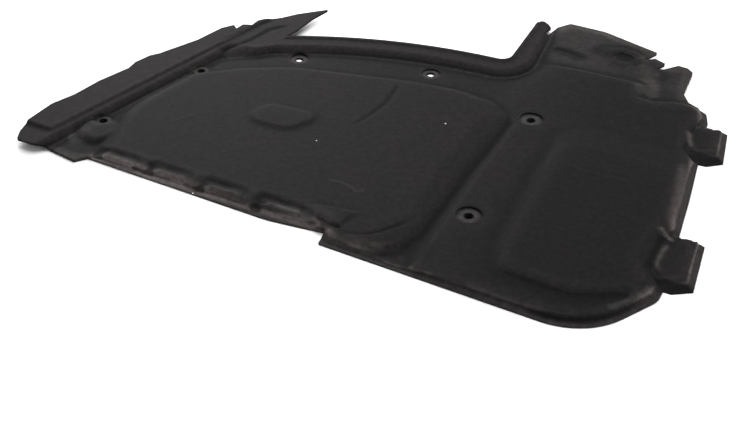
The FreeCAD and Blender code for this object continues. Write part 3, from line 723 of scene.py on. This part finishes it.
@dataclass
class MouldedPad:
    """The pad itself: one piece of felt with its pressed relief. Lengths are in millimetres."""

    name: str = "moulded_felt_pad"
    # Sides of the small squares that the upper face is cut into, and of the grid that measures it
    mesh_pitch: float = 3.5
    quick_pitch: float = 8.0
    grid_pitch: float = 2.0
    merge_within: float = 0.02
    # Blurs that soften the mould's relief: inside the pad, near its edge, and where it is calmed
    soft_sigma: float = 3.2
    crisp_sigma: float = 1.4
    calm_sigma: float = 7.0
    # The share of felt within edge_sigma tells how near the cut edge a place is
    edge_sigma: float = 12.0
    crisp_edge: Point = (0.93, 0.995)
    # Steep walls near the cut edge get painted bounce light, and flat felt there a share of it
    skirt_edge: Point = (0.985, 0.80)
    skirt_steepness: Point = (0.12, 0.45)
    skirt_flat_share: float = 0.35
    # Thickness at which the felt is pressed hard and at which it is fully lofted
    pressed_thickness: Point = (3.6, 5.4)
    # Height of the hollow under a raised edge, from none to a full shell
    shell_hollow: Point = (2.5, 4.5)
    # A bend is the finer blur less the wider one, and full at bend_rise; bends set the painted
    # highlights on crests and the painted shade in valleys
    bend_sigmas: Point = (2.2, 9.0)
    bend_rise: float = 1.2
    # Where softening would move a point this far, it stays on the mould's relief
    steady_change: Point = (2.8, 1.8)
    # Faces that look up less than this are the cut edge and the back
    edge_facing: float = 0.2
    # Points that face up and lie above the back are free to move
    free_facing: float = 0.15
    free_height: float = 1.0
    # Middle and radius of each clip ring
    seats: tuple[tuple[float, float, float], ...] = (
        (-446.0, -298.0, 14.0), (-400.0, -81.0, 14.0), (-271.0, 47.0, 17.0),
        (-34.0, 114.0, 17.0), (186.0, 48.0, 20.0), (205.0, -246.0, 20.0),
    )
    # The felt stays as packed up to the first distance past a ring, and is free from the second
    seat_margin: Point = (0.4, 5.0)
    hole_radius: float = 7.0
    slim_ring: float = 15.0
    thin_rings: tuple[float, ...] = (17.0,)
    # The lower skin closes the hole to this share, from points this near to its rim
    skin_share: float = 0.7
    skin_within: float = 0.4
    # Angles in degrees: flat areas that are merged, and edges that stay sharp
    flat_angle: float = 0.3
    sharp_angle: float = 42.0
    marks: FineMarks = FineMarks()
    light_and_wear: PaintedLightAndWear = PaintedLightAndWear()
    finish: NeedledFelt = NeedledFelt()

    def build(self, node: bpy.types.Object) -> bpy.types.Object:
        """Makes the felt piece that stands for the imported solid.

        Args:
            node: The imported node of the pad.

        Returns:
            The finished piece.
        """
        pad = self._copied(node)
        grid = HeightGrid.sampled(pad, self.grid_pitch)
        self._refined(pad, self.mesh_pitch)
        self._pressed(pad, grid)
        self._dressed(pad)
        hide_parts(PAD_NODE)
        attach(pad, "root")
        return pad

    def _copied(self, node: bpy.types.Object) -> bpy.types.Object:
        """Copies the node's mesh, merges its loose triangles and clears its flat areas.

        Args:
            node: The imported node.

        Returns:
            A new object at the origin.
        """
        pad = bpy.data.objects.new(self.name, node.data.copy())
        bpy.context.scene.collection.objects.link(pad)
        bpy.ops.object.select_all(action="DESELECT")
        pad.select_set(True)
        bpy.context.view_layer.objects.active = pad
        bpy.ops.object.mode_set(mode="EDIT")
        bpy.ops.mesh.select_all(action="SELECT")
        bpy.ops.mesh.remove_doubles(threshold=self.merge_within * MM)
        bpy.ops.mesh.customdata_custom_splitnormals_clear()
        bpy.ops.mesh.dissolve_limited(angle_limit=math.radians(self.flat_angle))
        bpy.ops.object.mode_set(mode="OBJECT")
        return pad

    def _refined(self, pad: bpy.types.Object, pitch: float) -> None:
        """Cuts the upper face into small squares, and leaves the cut edge and the back as they are.

        Args:
            pad: The merged copy.
            pitch: Side of a square in millimetres.
        """
        mesh = pad.data
        normals = np.zeros(len(mesh.polygons) * 3, np.float32)
        mesh.polygons.foreach_get("normal", normals)
        bpy.ops.object.mode_set(mode="EDIT")
        bpy.context.tool_settings.mesh_select_mode = (False, False, True)
        bpy.ops.mesh.select_all(action="DESELECT")
        bpy.ops.object.mode_set(mode="OBJECT")
        mesh.polygons.foreach_set("select", normals.reshape(-1, 3)[:, 2] < self.edge_facing)
        bpy.ops.object.mode_set(mode="EDIT")
        bpy.ops.mesh.hide(unselected=False)
        low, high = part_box(PAD_NODE)
        for axis in (0, 1):
            normal = [float(i == axis) for i in range(3)]
            first = math.ceil(low[axis] / (pitch * MM)) + 0.5
            for step in range(int((high[axis] - low[axis]) / (pitch * MM)) - 1):
                bpy.ops.mesh.select_all(action="SELECT")
                bpy.ops.mesh.bisect(plane_co=[(first + step) * pitch * MM * n for n in normal],
                                    plane_no=normal, threshold=0.001 * MM)
        bpy.ops.mesh.reveal(select=False)
        bpy.ops.object.mode_set(mode="OBJECT")

    def _felt_around(self, grid: HeightGrid) -> np.ndarray:
        """Share of felt round each grid point: 1 inside the pad, and less near its cut edge."""
        return grid.spread(grid.inside.astype(float), self.edge_sigma)

    def _shell(self, grid: HeightGrid) -> np.ndarray:
        """Share by which each grid point lies on a thin raised edge with a hollow under it."""
        return smooth_rise(grid.softened(grid.heights - grid.thickness, 2.5), *self.shell_hollow)

    def _skirt(self, grid: HeightGrid, heights: np.ndarray) -> np.ndarray:
        """How much painted bounce light each grid point gets on the steep walls that fall to the cut edge.

        Args:
            grid: The measured upper face.
            heights: Heights of the finished felt on the same grid.

        Returns:
            One share for each grid point, 1 on a steep wall at the edge.
        """
        up, across = np.gradient(grid.softened(heights, self.bend_sigmas[0]), grid.pitch)
        steep = smooth_rise(np.hypot(up, across), *self.skirt_steepness)
        near = smooth_rise(self._felt_around(grid), *self.skirt_edge)
        flat = self.skirt_flat_share
        return near * (flat + (1 - flat) * steep) * (1 - self._shell(grid))

    def _seat_paint(self, x: np.ndarray, y: np.ndarray) -> tuple[np.ndarray, np.ndarray, np.ndarray]:
        """Paint of the clip seats: smooth rings, and painted shade in the holes and on the dishes' far
        sides.

        Args:
            x: Places across, in millimetres.
            y: Places along, in millimetres.

        Returns:
            Share on the rings, their smoothness, and painted shade in the holes and on the dishes' far
            sides.
        """
        rings, smooth, seat_shade = np.zeros(x.shape), np.zeros(x.shape), np.zeros(x.shape)
        for seat_x, seat_y, radius in self.seats:
            away = np.hypot(x - seat_x, y - seat_y)
            on_ring = smooth_rise(away, radius + 1.5, radius - 1.0)
            rings = np.maximum(rings, on_ring)
            fade = 0.14 + 0.28 * smooth_rise(away, radius, self.hole_radius + 2.0)
            if radius < self.slim_ring:
                fade = fade * 0.35
            past_hole = smooth_rise(away, self.hole_radius, self.hole_radius + 1.5)
            smooth = np.maximum(smooth, on_ring * fade * past_hole)
            # Painted shade on the far wall of each dish, and in the hole
            far_side = smooth_rise((y - seat_y) / np.maximum(away, 1.0), 0.1, 0.7)
            far_wall_shade = np.exp(-(((away - radius - 2.5) / 3.0) ** 2)) * far_side
            hole = smooth_rise(away, self.hole_radius + 1.0, self.hole_radius)
            seat_shade = np.maximum(seat_shade, np.maximum(far_wall_shade, hole))
        return rings, smooth, seat_shade

    def _surface(self, grid: HeightGrid, calm: np.ndarray) -> np.ndarray:
        """Heights of the felt: the mould's relief softened, less so near the edge.

        Args:
            grid: The measured upper face.
            calm: Share by which the relief is calmed at each grid point.

        Returns:
            One height in millimetres for each grid point.
        """
        inner = smooth_rise(self._felt_around(grid), *self.crisp_edge) * (1 - self._shell(grid))
        heights = grid.softened(grid.heights, self.crisp_sigma) * (1 - inner)
        heights += grid.softened(grid.heights, self.soft_sigma) * inner
        return heights * (1 - calm) + grid.softened(heights, self.calm_sigma) * calm

    def _pressed(self, pad: bpy.types.Object, grid: HeightGrid) -> None:
        """Moves the upper face to the felt's heights and paints its pressed tone and painted light and
        shade.

        Args:
            pad: The refined copy.
            grid: The measured upper face.
        """
        mesh = pad.data
        count = len(mesh.vertices)
        places = np.zeros(count * 3, np.float32)
        normals = np.zeros(count * 3, np.float32)
        mesh.vertices.foreach_get("co", places)
        mesh.vertices.foreach_get("normal", normals)
        places, normals = places.reshape(-1, 3) / MM, normals.reshape(-1, 3)
        x, y = grid.places()
        calm = np.clip(sum(line.rise_at(x, y) for line in self.marks.calmed), 0, 1)
        marks = sum(mark.rise_at(x, y) for mark in self.marks.all_marks())
        heights = self._surface(grid, calm)
        free = (normals[:, 2] > self.free_facing) & (places[:, 2] > self.free_height)
        free = self._kept_seats(places, free, grid.at(heights, places))
        target = grid.at(heights, places)
        steady = smooth_rise(np.abs(target - places[:, 2]), *self.steady_change)
        steady = np.maximum(steady, grid.at(calm, places))
        change = (target - places[:, 2]) * steady + grid.at(marks, places)
        places[:, 2] = np.where(free, places[:, 2] + change, places[:, 2])
        self._closed_bores(places)
        mesh.vertices.foreach_set("co", (places * MM).ravel())
        for paint, values in self._painted(grid, heights + marks).items():
            layer = mesh.attributes.new(paint.value, "FLOAT", "POINT")
            layer.data.foreach_set("value", grid.at(values, places).astype(np.float32))
        mesh.update()
        log.info("pressed %d points of %d", int(free.sum()), count)

    def _kept_seats(self, places: np.ndarray, free: np.ndarray, target: np.ndarray) -> np.ndarray:
        """Keeps the clip rings as they are packed, and eases the felt up to them.

        Args:
            places: All points in millimetres; those beside a ring are moved.
            free: Which points may move.
            target: Height of the softened felt at each point.

        Returns:
            Which points may still move.
        """
        inner, outer = self.seat_margin
        for x, y, radius in self.seats:
            away = np.hypot(places[:, 0] - x, places[:, 1] - y)
            share = smooth_rise(away, radius + inner, radius + outer)
            free = free & (share > 0)
            eased = places[:, 2] * (1 - share) + target * share
            places[:, 2] = np.where(free & (share < 1), eased, places[:, 2])
            free = free & (share >= 1)
        return free

    def _closed_bores(self, places: np.ndarray) -> None:
        """Draws the lower skin a little way in round the holes of the thick seats.

        Args:
            places: All points in millimetres; those of the lower skin are moved.
        """
        for x, y, radius in self.seats:
            if radius in self.thin_rings:
                continue
            away = np.hypot(places[:, 0] - x, places[:, 1] - y)
            skin = (np.abs(away - self.hole_radius) < self.skin_within) & (places[:, 2] < 0.5)
            for axis, centre in enumerate((x, y)):
                places[skin, axis] = centre + (places[skin, axis] - centre) * self.skin_share

    def _painted(self, grid: HeightGrid, heights: np.ndarray) -> dict[Paint, np.ndarray]:
        """Works out the felt's pressed tone and its painted light and shade, and a scratch.

        Args:
            grid: The measured upper face.
            heights: Heights of the finished felt on the same grid.

        Returns:
            One array for each painted attribute.
        """
        low, high = self.pressed_thickness
        x, y = grid.places()
        rings, smooth, seat_shade = self._seat_paint(x, y)
        fine, wide = (grid.softened(heights, sigma) for sigma in self.bend_sigmas)
        thin = smooth_rise(grid.softened(grid.thickness, 1.5), high, low)
        painted = {
            Paint.PRESSED_AND_HIGHLIGHT: thin * (1 - rings) + smooth,
            Paint.SHELL: self._shell(grid) * (1 - rings),
            # Painted bounce light on the steep walls near the cut edge
            Paint.SKIRT_LIGHT: self._skirt(grid, heights) * (1 - rings),
            # Painted highlights on crests, painted shade in valleys, in the seats' holes and on their
            # dishes' far sides
            Paint.BEND_SHADING: np.clip((fine - wide) / self.bend_rise, -1, 1) * (1 - rings) - seat_shade,
        }
        # Zones add painted highlights and painted shade, and a scratch
        for zone in self.light_and_wear.zones():
            painted[zone.paint] = painted[zone.paint] + zone.area.rise_at(x, y)
        return {paint: np.clip(values, -float(paint is Paint.BEND_SHADING), 1) for paint, values in painted.items()}

    def _dressed(self, pad: bpy.types.Object) -> None:
        """Smooths the shading, keeps the cut edges sharp and gives the felt.

        Args:
            pad: The pressed piece.
        """
        pad.data.materials.clear()
        pad.data.materials.append(self.finish.material())
        bpy.ops.object.select_all(action="DESELECT")
        pad.select_set(True)
        bpy.context.view_layer.objects.active = pad
        bpy.ops.object.shade_smooth_by_angle(angle=math.radians(self.sharp_angle))


@dataclass(frozen=True)
class Softbox:
    """A large flat lamp."""

    name: str
    place: tuple[float, float, float]
    target: tuple[float, float, float]
    size: Point
    power: float

    def build(self) -> bpy.types.Object:
        """Adds the lamp, facing its target.

        Returns:
            The lamp's object.
        """
        lamp = bpy.data.lights.new(self.name, "AREA")
        lamp.shape = "RECTANGLE"
        lamp.size, lamp.size_y = self.size
        lamp.energy = self.power
        box = bpy.data.objects.new(self.name, lamp)
        box.location = self.place
        aim = Vector(self.target) - Vector(self.place)
        box.rotation_euler = aim.to_track_quat("-Z", "Y").to_euler()
        bpy.context.scene.collection.objects.link(box)
        return box


@dataclass
class Studio:
    """White floor, softboxes above and behind, and an even white surround."""

    floor_colour: str = "#ffffff"
    floor_size: float = 12.0
    floor_drop: float = 0.0002
    # Distance from the middle at which the floor turns plain white for the camera
    clear_from: float = 0.75
    clear_to: float = 1.3
    surround: float = 0.22
    softboxes: tuple[Softbox, ...] = (
        Softbox("softbox_far_left", (-1.9, 1.6, 1.5), (0.0, 0.0, 0.0), (1.8, 1.4), 75.0),
        Softbox("softbox_above", (0.1, 0.5, 2.6), (0.0, 0.0, 0.0), (2.6, 2.6), 83.0),
        Softbox("softbox_right", (3.2, -0.8, 1.1), (0.0, 0.0, 0.0), (1.6, 1.2), 46.0),
    )

    def build(self) -> None:
        """Adds the floor, the lamps and the world."""
        self._floor()
        for box in self.softboxes:
            box.build()
        self._world()

    def _floor(self) -> None:
        """White card under the pad that keeps its shadow and is white to the camera far away."""
        bpy.ops.object.select_all(action="DESELECT")
        bpy.ops.mesh.primitive_plane_add(size=self.floor_size, location=(0, 0, -self.floor_drop))
        floor = bpy.context.object
        floor.name = "floor"
        card = bpy.data.materials.new("white_card_matt")
        card.use_nodes = True
        tree = card.node_tree
        tree.nodes.clear()
        paper = add_node(tree, "ShaderNodeBsdfDiffuse", {"Color": linear(self.floor_colour)})
        glow = add_node(tree, "ShaderNodeEmission", {"Color": linear("#ffffff"), "Strength": 1.0})
        place = add_node(tree, "ShaderNodeTexCoord").outputs["Object"]
        away = add_node(tree, "ShaderNodeVectorMath", {"operation": "LENGTH"}, {0: place})
        far = add_node(tree, "ShaderNodeMapRange",
                       {"interpolation_type": "SMOOTHSTEP", "From Min": self.clear_from,
                        "From Max": self.clear_to}, {"Value": away.outputs["Value"]})
        path = add_node(tree, "ShaderNodeLightPath")
        seen = add_node(tree, "ShaderNodeMath", {"operation": "MULTIPLY"},
                        {0: path.outputs["Is Camera Ray"], 1: far.outputs["Result"]})
        mix = add_node(tree, "ShaderNodeMixShader",
                       links={0: seen.outputs[0], 1: paper.outputs[0], 2: glow.outputs[0]})
        add_node(tree, "ShaderNodeOutputMaterial", links={"Surface": mix.outputs[0]})
        floor.data.materials.append(card)

    def _world(self) -> None:
        """Even light from all round, white where the camera sees it."""
        world = bpy.data.worlds.new("surround")
        bpy.context.scene.world = world
        world.use_nodes = True
        tree = world.node_tree
        tree.nodes.clear()
        path = add_node(tree, "ShaderNodeLightPath")
        seen = path.outputs["Is Camera Ray"]
        for name in ("Is Glossy Ray", "Is Transmission Ray"):
            seen = add_node(tree, "ShaderNodeMath", {"operation": "MAXIMUM"},
                            {0: seen, 1: path.outputs[name]}).outputs[0]
        colour = linear("#ffffff")
        soft = add_node(tree, "ShaderNodeBackground", {"Color": colour, "Strength": self.surround})
        white = add_node(tree, "ShaderNodeBackground", {"Color": colour, "Strength": 1.0})
        mix = add_node(tree, "ShaderNodeMixShader",
                       links={0: seen, 1: soft.outputs[0], 2: white.outputs[0]})
        add_node(tree, "ShaderNodeOutputWorld", links={"Surface": mix.outputs[0]})


@dataclass(frozen=True)
class PhotoCamera:
    """Camera at the photograph's place: 37 degrees down, from the near right."""

    # The photograph is 737 pixels wide, and its focal length is 1100 of them
    sensor_mm: float = 36.0
    focal_pixels: float = 1100.0
    width_pixels: float = 737.0
    place: tuple[float, float, float] = (0.7008, -1.4657, 0.9996)
    target: tuple[float, float, float] = (0.065, -0.3015, 0.0)

    def build(self) -> None:
        """Adds the camera and makes it the scene's own."""
        data = bpy.data.cameras.new("photo_camera")
        data.lens = self.sensor_mm * self.focal_pixels / self.width_pixels
        camera = bpy.data.objects.new("photo_camera", data)
        camera.location = self.place
        aim = Vector(self.target) - Vector(self.place)
        camera.rotation_euler = aim.to_track_quat("-Z", "Y").to_euler()
        bpy.context.scene.collection.objects.link(camera)
        bpy.context.scene.camera = camera


def main() -> None:
    """Builds the pad, the studio and the camera in order."""
    logging.basicConfig(level=logging.INFO, format="%(name)s: %(message)s")
    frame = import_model()
    pad = MouldedPad().build(frame["nodes"][PAD_NODE])
    log.info("%s: %d points, %d faces", pad.name, len(pad.data.vertices), len(pad.data.polygons))
    Studio().build()
    PhotoCamera().build()
    bpy.context.scene.view_settings.view_transform = "Standard"


if __name__ == "__main__":
    main()
